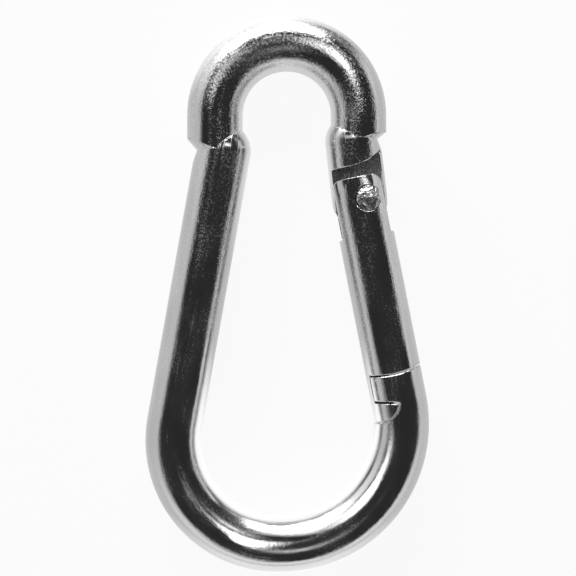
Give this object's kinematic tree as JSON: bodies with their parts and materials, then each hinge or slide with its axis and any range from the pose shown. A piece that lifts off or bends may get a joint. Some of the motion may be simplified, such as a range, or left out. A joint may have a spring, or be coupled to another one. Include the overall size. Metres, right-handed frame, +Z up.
{
  "type": "spring snap hook",
  "caption": "Pear-shaped snap hook bent from round plated steel bar, with a small eye, pinched shoulders and an inward-opening spring gate on a rivet.",
  "frame": {"origin": "middle of the hook's outline in X and Y, on the surface that the hook lies on", "axes": "+Y along the hook towards the small eye, +X towards the gate's side, +Z up out of the surface; the hook's plane is z = 5.3 mm"},
  "size_m": [0.051, 0.1, 0.0106],
  "materials": {
    "plated_bar": "bright plated, lightly worn and scratched",
    "plated_rivet": "bright plated, peened",
    "spring_steel": "plain drawn steel, oiled"
  },
  "bodies": {
    "hook": {"body": "plated_bar"},
    "gate": {"gate": "plated_bar", "hinge_rivet": "plated_rivet", "closing_spring": "spring_steel"},
    "plunger": {"plunger": "spring_steel"}
  },
  "joints": [
    {"name": "gate_hinge", "type": "hinge", "parent": "hook", "child": "gate", "pos_m": [0.01438, 0.0171, 0.0053], "axis": [0, 0, -1], "range_deg": [0, 34], "stiffness_Nm_per_rad": 0.05, "springref_deg": -114.59},
    {"name": "plunger_slide", "type": "slide", "parent": "gate", "child": "plunger", "axis": [0.1934, -0.9811, 0], "range_m": [0, 0.00085], "deforming": ["closing_spring"]}
  ],
  "couplings": [
    {"joint": "plunger_slide", "follows": "gate_hinge", "m_per_rad": 0.0014}
  ]
}
